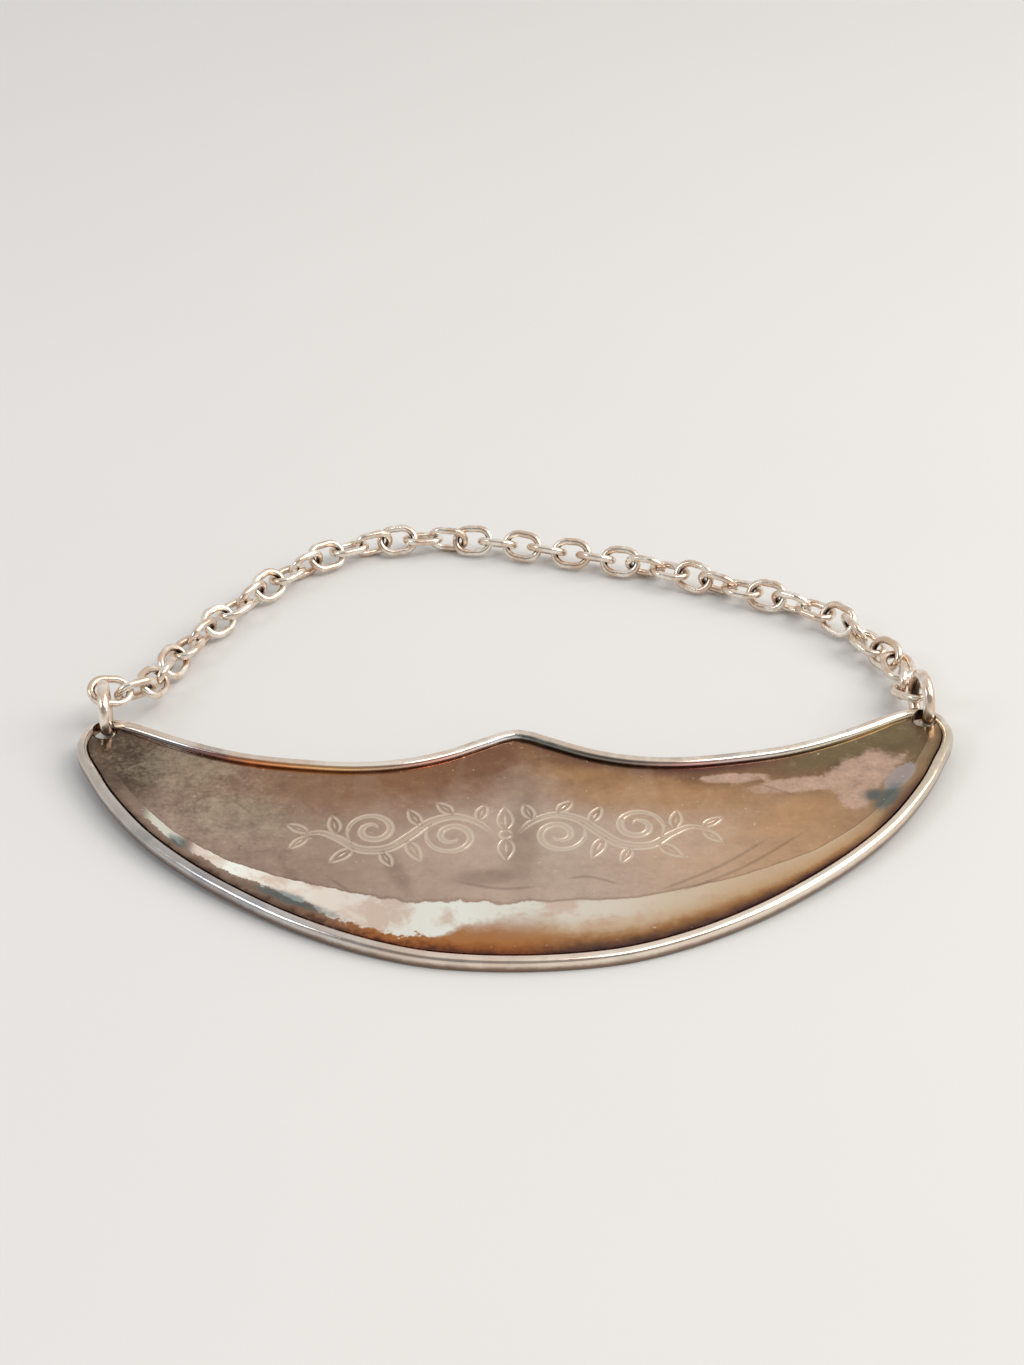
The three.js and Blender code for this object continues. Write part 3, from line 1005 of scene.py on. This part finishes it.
@dataclass
class LabelPlate:
    """The engraved sheet: a flat back, a face that curls up to the lower border, and two bores.

    A tone's blots are ovals, each given by its middle, its two half sizes and its turn in degrees.
    """

    outline: LabelOutline = field(default_factory=LabelOutline)
    ornament: ScrollOrnament = field(default_factory=ScrollOrnament)
    sheet: float = 0.45
    cove_rise: float = 0.35
    cove_width: float = 6.0
    border_width: float = 0.9
    seam: float = 0.006
    grid: float = 0.42
    grid_row: float = 0.87
    rim_points: int = 640
    inner_rim_points: int = 420
    inner_rims: tuple[float, ...] = (0.12, 0.3)
    bore_rows: tuple[float, ...] = (0.04, 0.09, 0.16, 0.3)
    bore_row_points: int = 56
    cut_step: float = 0.12
    cut_rows: tuple[float, ...] = (-1.6, -1, -0.5, 0, 0.5, 1, 1.6)
    clear_of_cuts: float = 0.55
    clear_of_rim: float = 0.06
    clear_of_bore: float = 0.01
    back_thinning: int = 9
    back_margin: float = 0.3
    worn_width: float = 0.16
    worn_depth: float = 0.09
    scratch_depth: float = 0.014
    dent_margin: float = 3.0
    dents: tuple[tuple[float, float, float, float], ...] = (
        (0.007, 0.31, 0.42, 0.4), (0.006, -0.47, 0.36, 1.9), (0.004, 0.83, -0.51, 4.1),
    )
    # The painted pale reflection band along the lower edge: its width at even steps out from the middle, and
    # the value that the back carries instead
    reflection_band_step: float = 4.0
    reflection_band_width: tuple[float, ...] = (5.25, 5.15, 4.35, 3.65, 2.75, 1.8, 1.3, 1.1, 0.8)
    past_reflection_band: float = 2.0
    tones: dict[str, tuple[Blot, ...]] = field(
        default_factory=lambda: {
            "rose": ((25.2, 7.4, 3.3, 1.8, 28), (20.4, 6.1, 3.4, 0.8, 6), (15.6, 6.9, 2.6, 0.5, 4),
                     (24.0, 4.7, 1.1, 1.5, 0)),
            "olive": ((23.4, 9.6, 4.6, 0.9, 24), (27.9, 11.6, 1.6, 1.3, 20)),
            "slate": ((27.7, 6.6, 2.0, 0.75, 50),),
            "teal": ((26.4, 4.3, 1.7, 0.6, 54), (25.5, 4.6, 0.8, 0.6, 0), (-15.6, -5.4, 3.2, 0.45, -29),
                     (-23.9, 0.7, 0.9, 0.4, -50)),
            "lichen": ((-24.4, 9.4, 3.4, 2.2, -10), (-19.8, 3.6, 3.4, 1.8, -20)),
            "plum": ((2.4, -9.9, 3.2, 0.8, 0), (14.0, 8.2, 4.6, 0.5, 6), (26.9, 3.0, 3.4, 0.5, 54)),
            "soot": ((-28.4, 8.6, 2.4, 3.4, 0), (-29.4, 11.6, 1.6, 1.6, 0), (27.3, 3.6, 3.0, 0.6, 52)),
            "smoke": ((0.3, 1.6, 1.2, 5.6, -4), (-8.7, -2.3, 0.6, 2.5, 22), (-15.9, -2.7, 0.4, 1.9, 25),
                      (-17.3, 3.5, 1.9, 0.16, -3), (-2.2, -3.2, 2.4, 0.8, 4)),
            "gold": ((10.2, 4.9, 7.0, 1.6, -6), (19.6, 2.9, 4.2, 1.5, 24), (6.4, 7.2, 4.4, 1.0, -10)),
        }
    )

    def scratches(self) -> list[Cut]:
        """Shallow knocks and lines of wear on the face."""
        lines = (
            ((3.0, -3.5), (4.6, -3.35), (6.8, -4.2)),
            ((9.0, -5.0), (13.5, -2.6), (17.5, 0.4)),
            ((10.4, -5.2), (15.2, -2.7), (20.5, 1.3)),
            ((-13.5, -2.8), (-11.2, -5.0)),
            ((-21.0, 5.8), (-18.6, 3.4)),
            ((17.0, 6.4), (20.4, 4.6)),
            ((-4.6, -3.6), (-1.4, -4.4), (1.2, -4.2)),
        )
        return [Cut(smooth_line(line, Flow.OPEN, 8), self.scratch_depth, 0.26, 0.0) for line in lines]

    def cut_field(self, points: Array, cuts: Sequence[Cut]) -> tuple[Array, Array, Array]:
        """What the cuts do to the face at points.

        Args:
            points: Places on the face.
            cuts: The cuts.

        Returns:
            How deep the face is cut, the slope of that depth, and how freshly it is cut.
        """
        start, end = np.vstack([cut.path[:-1] for cut in cuts]), np.vstack([cut.path[1:] for cut in cuts])
        away, which = nearest_on(points, start, end)
        depth, width, polish = np.vstack([cut.sizes() for cut in cuts])[which].T
        reach = np.linalg.norm(away, axis=1)
        share = np.clip(reach / width, 0, 1)
        steep = -depth * math.pi / (2 * width) * np.sin(math.pi * share)
        slope = away / np.maximum(reach, 1e-9)[:, None] * steep[:, None]
        return depth * (0.5 + 0.5 * np.cos(math.pi * share)), slope, polish * np.clip(1.25 - share, 0, 1)

    def tone_marks(self, points: Array) -> dict[str, Array]:
        """Says how strongly each tone marks the face.

        Args:
            points: Places on the face.

        Returns:
            A named number from 0 to 1 for each tone and point.
        """
        marks = {}
        for tone, blots in self.tones.items():
            strength = np.zeros(len(points))
            for x, y, long_half, short_half, turn in blots:
                c, s = math.cos(math.radians(turn)), math.sin(math.radians(turn))
                away = points - (x, y)
                along, beside = away @ np.array([c, s]) / long_half, away @ np.array([-s, c]) / short_half
                strength = np.maximum(strength, np.exp(-0.7 * (along**2 + beside**2)))
            marks[f"tone_{tone}"] = strength
        return marks

    def surface(self, points: Array, cuts: Sequence[Cut]) -> tuple[Array, Array, dict[str, Array]]:
        """The face's height and slope at points, with what its finish reads.

        Args:
            points: Places on the face.
            cuts: The cuts in the face.

        Returns:
            The heights, the upright-facing normals, and the named attributes.
        """
        away, gap, top = self.outline.gaps(points)
        share = np.clip(1 - (gap - self.border_width) / self.cove_width, 0, 1)
        height = self.sheet + self.cove_rise * share**2
        slope = -2 * self.cove_rise / self.cove_width * share[:, None] * away / np.maximum(gap, 1e-9)[:, None]
        middle = np.clip((gap - self.border_width) / self.dent_margin, 0, 1)
        middle *= np.clip(top / self.dent_margin, 0, 1)
        for size, kx, ky, phase in self.dents:
            wave = kx * points[:, 0] + ky * points[:, 1] + phase
            height += size * middle * np.sin(wave)
            slope += (size * middle * np.cos(wave))[:, None] * np.array([kx, ky])
        for bore in self.outline.bores():
            out = points - bore
            reach = np.linalg.norm(out, axis=1)
            worn = np.clip(1 - (reach - self.outline.bore_radius) / self.worn_width, 0, 1)
            height -= self.worn_depth * worn**2
            slope += (2 * self.worn_depth / self.worn_width * worn / np.maximum(reach, 1e-9))[:, None] * out
        depth, cut_slope, polish = self.cut_field(points, cuts)
        height -= depth
        slope -= cut_slope
        normal = np.column_stack([-slope, np.ones(len(points))])
        normal /= np.linalg.norm(normal, axis=1, keepdims=True)
        # How wide the painted reflection band is at each point's x
        reflection_band_x = np.arange(len(self.reflection_band_width)) * self.reflection_band_step
        reflection_band = np.interp(np.abs(points[:, 0]), reflection_band_x, self.reflection_band_width)
        marks = {
            "cove_share": np.clip(gap - self.border_width, 0, None) / reflection_band,
            "under_top": top - self.border_width,
            "engraved": polish,
            "scored": self.cut_field(points, self.scratches())[0] / self.scratch_depth,
        }
        return height, normal, marks | self.tone_marks(points)

    def seeds(self, rim: Array, cuts: Sequence[Cut]) -> Array:
        """Lays out what the face is built on: an open grid, and close rows along cuts, bores and the rim.

        Args:
            rim: The face's outer edge.
            cuts: The cuts in the face.

        Returns:
            The points, none of them on an edge.
        """
        rows = []
        for cut in cuts:
            path = evenly(cut.path, max(3, int(length_of(cut.path) / self.cut_step)))
            side = left_of(path)
            rows += [path + side * cut.half_width * k for k in self.cut_rows]
        fine = np.vstack(rows)
        ring = circle_points(self.bore_row_points)
        for bore in self.outline.bores():
            rows += [bore + ring * (self.outline.bore_radius + more) for more in self.bore_rows]
        depth = self.border_width + self.seam
        rows += [self.outline.inset(self.inner_rim_points, depth + more) for more in self.inner_rims]
        steps = (self.grid, self.grid * self.grid_row)
        lines = [np.arange(axis.min(), axis.max(), step) for axis, step in zip(rim.T, steps)]
        x, y = np.meshgrid(*lines)
        x = x + (np.arange(len(x))[:, None] % 2) * self.grid / 2
        grid = np.stack([x.ravel(), y.ravel()], axis=1)
        grid = grid[gap_to(grid, fine[:-1:3], fine[:-1:3]) > self.grid * self.clear_of_cuts]
        next_on_rim = np.roll(rim, -1, axis=0)
        rows.append(grid[gap_to(grid, rim, next_on_rim) > self.grid])
        seeds = np.vstack(rows)
        seeds = seeds[(gap_to(seeds, rim, next_on_rim) > self.clear_of_rim) & inside(seeds, rim)]
        return seeds[self.outline.clear_of_bores(seeds, self.outline.bore_radius + self.clear_of_bore)]

    def filled(
        self, points: Array, edges: list[tuple[int, int]], rim: Array, closeness: float
    ) -> tuple[Array, Array]:
        """Joins points into triangles inside the rim and outside the bores.

        Args:
            points: The points.
            edges: Pairs of points that have to be joined.
            rim: The outer edge.
            closeness: How near two points are to count as one.

        Returns:
            The joined points, and the triangles' indices into them.
        """
        made = delaunay_2d_cdt([tuple(p) for p in points], edges, [], 0, closeness)
        flat = np.array([tuple(v) for v in made[0]])
        tri = np.array([f for f in made[2] if len(f) == 3])
        middle = flat[tri].mean(1)
        outside = self.outline.clear_of_bores(middle, self.outline.bore_radius * 0.999)
        return flat, tri[inside(middle, rim) & outside]

    def shade(self, mesh: Mesh, normal: Array, face_corners: int) -> None:
        """Gives the face its true normals and every other side its flat one.

        Args:
            mesh: The plate's mesh, in the frame.
            normal: The face's normals at its points, in the label's plane.
            face_corners: How many of the mesh's first corners belong to the face.
        """
        mesh.polygons.foreach_set("use_smooth", [True] * len(mesh.polygons))
        mesh.update()
        point_of_corner = np.zeros(len(mesh.loops), int)
        mesh.loops.foreach_get("vertex_index", point_of_corner)
        flat = np.zeros(len(mesh.polygons) * 3)
        mesh.polygons.foreach_get("normal", flat)
        custom = np.repeat(flat.reshape(-1, 3), [len(p.vertices) for p in mesh.polygons], axis=0)
        turn = np.array(self.outline.frame().to_3x3()) / MM
        custom[:face_corners] = (normal @ turn.T)[point_of_corner[:face_corners]]
        mesh.normals_split_custom_set(custom.tolist())

    def mesh(self) -> Mesh:
        """Builds the whole plate as one closed mesh: its face, its back and the walls between them."""
        rim = self.outline.inset(self.rim_points, self.border_width + self.seam)
        cuts = self.ornament.cuts() + self.scratches()
        seeds = self.seeds(rim, cuts)
        points, edges = seeds, []
        for loop in (rim, *self.outline.bore_rings()):
            edges += [(len(points) + i, len(points) + (i + 1) % len(loop)) for i in range(len(loop))]
            points = np.vstack([points, loop])
        flat, face = self.filled(points, edges, rim, 1e-5)
        used, face = np.unique(face, return_inverse=True)
        flat, face = flat[used], face.reshape(-1, 3)
        height, normal, marks = self.surface(flat, cuts)
        directed = {(a, b) for t in face.tolist() for a, b in zip(t, t[1:] + t[:1])}
        border = [(a, b) for a, b in directed if (b, a) not in directed]
        place = {v: i for i, v in enumerate(sorted({a for edge in border for a in edge}))}
        ring = flat[list(place)]
        sparse = seeds[:: self.back_thinning]
        sparse = sparse[gap_to(sparse, ring, ring) > self.back_margin]
        around = [(place[a], place[b]) for a, b in border]
        back_flat, back = self.filled(np.vstack([ring, sparse]), around, rim, 1e-7)
        count = len(flat)
        walls = [(count + place[a], count + place[b], b, a) for a, b in border]
        vertices = np.column_stack([np.vstack([flat, back_flat]), [*height, *np.zeros(len(back_flat))]])
        mesh = bpy.data.meshes.new("label_plate_engraved")
        faces = [*face.tolist(), *(back[:, ::-1] + count).tolist(), *walls]
        mesh.from_pydata(vertices.tolist(), [], faces)
        for name, values in marks.items():
            # The back carries a set value past the painted reflection band
            on_back = self.past_reflection_band if name in ("cove_share", "under_top") else 0.0
            mark(mesh, name, np.concatenate([values, np.full(len(back_flat), on_back)]))
        mesh.transform(self.outline.frame())
        self.shade(mesh, normal, len(face) * 3)
        return mesh

    def build(self) -> bpy.types.Object:
        """Makes the plate and dresses it."""
        mesh = self.mesh()
        mesh.materials.append(TarnishedFace().material())
        return add_piece("label_plate_engraved", mesh, "label", "label_plate")


@dataclass
class BorderWire:
    """The half-round wire that is soldered on the plate's edge."""

    outline: LabelOutline = field(default_factory=LabelOutline)
    width: float = 0.9
    height: float = 0.95
    shoulder: float = 0.5
    seam_depth: float = 0.016
    seam_height: float = 0.06
    squareness: float = 0.24
    stations: int = 720
    around: int = 48
    bore_span: tuple[float, float] = (-1.0, 3.0)
    side_blend: float = 1.2
    sharp_deg: float = 50.0

    def tree(self) -> Tree:
        """The geometry tree that sweeps the wire's section along a closed path."""
        names = ("Width", "Height", "Shoulder", "Squareness", "Seam depth")
        s = GeometrySketch("border_wire", names, ("Around",))
        width, height, shoulder, square, depth = (s.given[name] for name in names)
        across, up, _ = s.split(s.here)
        bend = s.math("MINIMUM", square + s.math("GREATER_THAN", up, JUST_UNDER_ZERO), 1.0)
        wide = abs(across) ** bend * s.math("SIGN", across)
        below = s.math("MAXIMUM", -up, 0.0) ** square
        level = shoulder * (1.0 - below) + (height - shoulder) * s.math("MAXIMUM", up, 0.0)
        notch = s.span(abs(level - shoulder), 0.0, self.seam_height * MM, 1, 0) * depth
        section = s.moved(s.circle(s.given["Around"]), wide * (width / 2.0 - notch), -level)
        section = s.stored(section, "rise", -up / height)
        section = s.stored(section, "across", -across / width)
        path = s.out("GeometryNodeMeshToCurve", {"Mesh": s.given["Geometry"]})
        path = s.out("GeometryNodeSetCurveNormal", {"Curve": path}, mode="Z_UP")
        return s.close(s.swept(path, section))

    def bored(self, mesh: Mesh) -> Mesh:
        """Cuts the two bores through the wire where they run into it.

        Args:
            mesh: The wire, in the label's plane.

        Returns:
            The bored wire.
        """
        vertices, faces = [], []
        for ring in self.outline.bore_rings():
            count, low = len(ring), len(vertices)
            high = low + count
            vertices += [(x * MM, y * MM, level * MM) for level in self.bore_span for x, y in ring]
            turns = [(i, (i + 1) % count) for i in range(count)]
            faces += [(low + i, low + k, high + k, high + i) for i, k in turns]
            faces += [tuple(range(low, high))[::-1], tuple(range(high, high + count))]
        cutter = bpy.data.meshes.new("bores")
        cutter.from_pydata(vertices, [], faces)
        cutter.update()
        tool, work = in_scene("bores", cutter), in_scene("wire", mesh)
        boolean = work.modifiers.new("bore", "BOOLEAN")
        boolean.operation = "DIFFERENCE"
        boolean.solver = "EXACT"
        boolean.object = tool
        result = kept(work)
        bpy.data.objects.remove(tool)
        return result

    def build(self) -> bpy.types.Object:
        """Makes the wire, marks its run along the top edge, whose inner wall gets tarnish tints and painted
        reflections, and dresses it.
        """
        line = self.outline.inset(self.stations, self.width / 2)
        path = bpy.data.meshes.new("border_path")
        edges = [(i, (i + 1) % len(line)) for i in range(len(line))]
        path.from_pydata([(x * MM, y * MM, 0.0) for x, y in line], edges, [])
        values = {
            "Width": self.width * MM,
            "Height": self.height * MM,
            "Shoulder": self.shoulder * MM,
            "Seam depth": self.seam_depth * MM,
            "Squareness": self.squareness,
            "Around": self.around,
            "Finish": WornBorder().material(),
        }
        mesh = self.bored(grown(self.tree(), path, values))
        _, low, high = self.outline.gaps(points_of(mesh)[:, :2] / MM, 400)
        mark(mesh, "far_side", np.clip(0.5 + (low - high) / self.side_blend, 0, 1))
        mesh.transform(self.outline.frame() @ Matrix.Scale(1 / MM, 4))
        mesh.set_sharp_from_angle(angle=math.radians(self.sharp_deg))
        return add_piece("border_wire", mesh, "label", "border_rim")


# The rings and the chain


def place_of(node: bpy.types.Object) -> Matrix:
    """Reads where a CAD wire loop lies from its own points.

    Args:
        node: The CAD node.

    Returns:
        What takes a loop that is long along X and thin along Z to the node's place.
    """
    points = np.unique(np.round(points_of(node.data), 7), axis=0)
    middle = points.mean(0)
    axes = np.linalg.eigh(np.cov((points - middle).T))[1][:, ::-1].copy()
    axes[:, 2] = np.cross(axes[:, 0], axes[:, 1])
    whole = np.eye(4)
    whole[:3, :3] = axes
    whole[:3, 3] = middle
    return Matrix(whole.tolist())


@dataclass
class WireLoop:
    """A closed loop of round wire with the seam where its ends were joined."""

    half_length: float
    half_width: float
    wire: float
    seam_at: float
    seam_swell: float
    seam_width: float = 0.012
    unevenness: float = 0.012
    steps: int = 64
    around: int = 18
    roundness: float = 0.5

    @staticmethod
    def tree() -> Tree:
        """The geometry tree that bends round wire into an oval and joins it."""
        sizes = ("Half length", "Half width", "Roundness", "Wire", "Seam at", "Seam swell", "Seam width")
        s = GeometrySketch("wire_loop", (*sizes, "Unevenness", "Seed"), ("Steps", "Around"))
        length, width, wire, steps = (s.given[k] for k in ("Half length", "Half width", "Wire", "Steps"))
        oval, outward = s.captured(s.circle(steps), "outward")
        along, beside, _ = s.split(outward)
        flat = s.math("SIGN", along) * (length - width) + along * width
        rounder = (along * length - flat) * s.given["Roundness"]
        oval, core = s.captured(s.moved(oval, flat + rounder, beside * width), "core")
        turn = s.out("GeometryNodeInputIndex") / steps
        apart = abs(s.math("WRAP", turn - s.given["Seam at"], 0.5, -0.5))
        seam = s.span(apart, 0.0, s.given["Seam width"], s.given["Seam swell"], 0.0)
        inputs = {"Vector": outward, "W": s.given["Seed"], "Scale": 1.6}
        uneven = s.out("ShaderNodeTexNoise", inputs, "Fac", noise_dimensions="4D") - 0.5
        girth = seam + 1.0 + uneven * s.given["Unevenness"]
        shape = s.swept(oval, s.circle(s.given["Around"], wire), girth)
        away = s.out("ShaderNodeVectorMath", {0: s.here, 1: core}, operation="SUBTRACT")
        outwards = s.out("ShaderNodeVectorMath", {0: away, 1: outward}, "Value", operation="DOT_PRODUCT")
        inner = s.math("MAXIMUM", -outwards / wire, 0.0)
        # Marks the inner side near the loop's ends, where painted shade darkens the wire
        return s.close(s.stored(shape, "crook_shade", inner * abs(along) ** 2.0))

    def mesh(self, tree: Tree, finish: bpy.types.Material, place: Matrix, seed: float) -> Mesh:
        """Builds the loop in its place.

        Args:
            tree: The wire loop's geometry tree.
            finish: Its material.
            place: Where it lies.
            seed: What makes its small unevenness its own.

        Returns:
            The mesh, in metres in the frame.
        """
        values = {
            "Half length": self.half_length * MM,
            "Half width": self.half_width * MM,
            "Roundness": self.roundness,
            "Wire": self.wire * MM,
            "Seam at": self.seam_at,
            "Seam swell": self.seam_swell,
            "Seam width": self.seam_width,
            "Unevenness": self.unevenness,
            "Seed": seed,
            "Steps": self.steps,
            "Around": self.around,
            "Finish": finish,
        }
        mesh = grown(tree, bpy.data.meshes.new("nothing"), values)
        mesh.transform(place)
        return mesh


@dataclass
class JumpRings:
    """The two rings that hang in the label's bores."""

    tree: Tree
    radius: float = 1.95
    wire: float = 0.445

    def build(self, nodes: dict[str, bpy.types.Object]) -> None:
        """Makes both rings and dresses them.

        Args:
            nodes: The CAD nodes by name.
        """
        finish = PolishedWire("silver_ring_wire", roughness=0.15).material()
        for number, name in enumerate(("ring_left", "ring_right")):
            sizes = (self.radius, self.radius, self.wire)
            loop = WireLoop(*sizes, 0.3 + 0.1 * number, -0.06, unevenness=0.02, steps=96, around=24)
            mesh = loop.mesh(self.tree, finish, place_of(nodes[name]), 3.0 + number)
            add_piece(f"{name}_wire", mesh, name, name)


@dataclass
class LabelChain:
    """The oval links, one piece for each, from the left ring to the right one.

    Askew links lean on a neighbour. They have straight sides and thinner wire, so that they clear it.
    """

    tree: Tree
    count: int = 41
    half_length: float = 1.487
    half_width: float = 1.03
    wire: float = 0.306
    seam_swell: float = -0.05
    roundness: float = 0.28
    askew: tuple[int, ...] = (14, 15, 16, 18, 19, 20, 34, 35, 36, 40, 41)
    askew_half_width: float = 1.036
    askew_wire: float = 0.296

    def build(self, nodes: dict[str, bpy.types.Object]) -> None:
        """Makes every link and dresses it.

        Args:
            nodes: The CAD nodes by name.
        """
        finish = PolishedWire("silver_chain_wire", roughness=0.17).material()
        plain = (self.half_width, self.wire, self.roundness)
        leaning = (self.askew_half_width, self.askew_wire, 0.0)
        for number in range(1, self.count + 1):
            name = f"link_{number:02d}"
            half_width, wire, roundness = leaning if number in self.askew else plain
            seam_at = 0.25 if number % 2 else 0.75
            loop = WireLoop(self.half_length, half_width, wire, seam_at, self.seam_swell, roundness=roundness)
            mesh = loop.mesh(self.tree, finish, place_of(nodes[name]), 10.0 + number * 1.7)
            add_piece(f"{name}_wire", mesh, name, name)


# Studio


@dataclass
class Studio:
    """Floor, soft lamps, pale surroundings and the camera."""

    camera_at: tuple[float, float, float] = (-3.113, -125.530, 90.327)
    right: tuple[float, float, float] = (0.9997, -0.0237, -0.0011)
    forward: tuple[float, float, float] = (0.0189, 0.8241, -0.5661)
    focal_pixels: float = 2025.0
    picture_height: float = 1365.0
    sensor: float = 36.0
    floor_half: float = 3.0
    lamps_aim: tuple[float, float, float] = (0, -0.0035, 0)

    def lamp(
        self, name: str, at: tuple[float, float, float], size: tuple[float, float], watts: float, tint: Colour
    ) -> None:
        """Hangs a soft rectangular lamp that looks at the object.

        Args:
            name: The lamp's name.
            at: Where it hangs, in metres.
            size: Its two sides, in metres.
            watts: Its power.
            tint: Its colour.
        """
        data = bpy.data.lights.new(name, "AREA")
        data.shape = "RECTANGLE"
        data.size, data.size_y = size
        data.energy = watts
        data.color = tint
        lamp = in_scene(name, data)
        lamp.location = at
        lamp.rotation_mode = "QUATERNION"
        lamp.rotation_quaternion = (Vector(self.lamps_aim) - Vector(at)).to_track_quat("-Z", "Y")

    def surroundings(self) -> None:
        """Soft pale surroundings, with a darker card high up in front for the silver to mirror."""
        world = bpy.data.worlds.new("pale_surroundings")
        bpy.context.scene.world = world
        world.use_nodes = True
        s = Sketch(world.node_tree)
        side, depth, rise = s.split(s.out("ShaderNodeTexCoord", output="Generated"))
        card = s.span(rise, 0.3, 0.42) * s.span(rise, 0.86, 0.97, 1.0, 0.0)
        card = card * s.span(depth, -0.35, 0.02, 1.0, 0.0)
        level = 0.82 - card * 0.5 - s.span(rise, 0.84, 1.0, 0.0, -0.06)
        level = level * s.span(side, -0.7, 0.7, 0.86, 1.06)
        sky = s.out("ShaderNodeBackground", {"Color": (1.0, 0.985, 0.965), "Strength": level})
        s.node("ShaderNodeOutputWorld", {0: sky})

    def floor(self) -> None:
        """A wide pale floor under the object."""
        half = self.floor_half
        corners = [(-half, -half, 0), (half, -half, 0), (half, half, 0), (-half, half, 0)]
        mesh = bpy.data.meshes.new("floor")
        mesh.from_pydata(corners, [], [(0, 1, 2, 3)])
        mesh.materials.append(PaleFloor().material())
        floor = in_scene("floor", mesh)

    def camera(self) -> None:
        """The camera at the photograph's place and angle."""
        data = bpy.data.cameras.new("camera")
        data.sensor_fit = "AUTO"
        data.sensor_width = self.sensor
        data.lens = self.focal_pixels * self.sensor / self.picture_height
        data.clip_start = 0.005
        data.clip_end = 20.0
        camera = in_scene("camera", data)
        back = -Vector(self.forward).normalized()
        up = back.cross(Vector(self.right).normalized()).normalized()
        side = up.cross(back).normalized()
        turn = Matrix((side, up, back)).transposed()
        camera.matrix_world = Matrix.Translation(Vector(self.camera_at) * MM) @ turn.to_4x4()
        bpy.context.scene.camera = camera

    def build(self) -> None:
        """Sets the whole stage."""
        bpy.context.scene.view_settings.view_transform = "Standard"
        self.surroundings()
        self.floor()
        self.lamp("window", (0.33, 0.0, 0.31), (0.36, 0.3), 1.15, (1.0, 0.97, 0.93))
        self.lamp("high_window", (0.16, -0.17, 0.42), (0.16, 0.12), 0.3, (1.0, 0.98, 0.95))
        self.lamp("sky_window", (-0.36, -0.13, 0.3), (0.16, 0.12), 0.35, (0.84, 0.92, 1.0))
        self.camera()


def main() -> None:
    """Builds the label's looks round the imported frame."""
    logging.basicConfig(level=logging.INFO, format="%(name)s: %(message)s")
    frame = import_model()
    nodes = frame["nodes"]
    LabelPlate().build()
    BorderWire().build()
    wire_tree = WireLoop.tree()
    JumpRings(wire_tree).build(nodes)
    LabelChain(wire_tree).build(nodes)
    Studio().build()


if __name__ == "__main__":
    main()
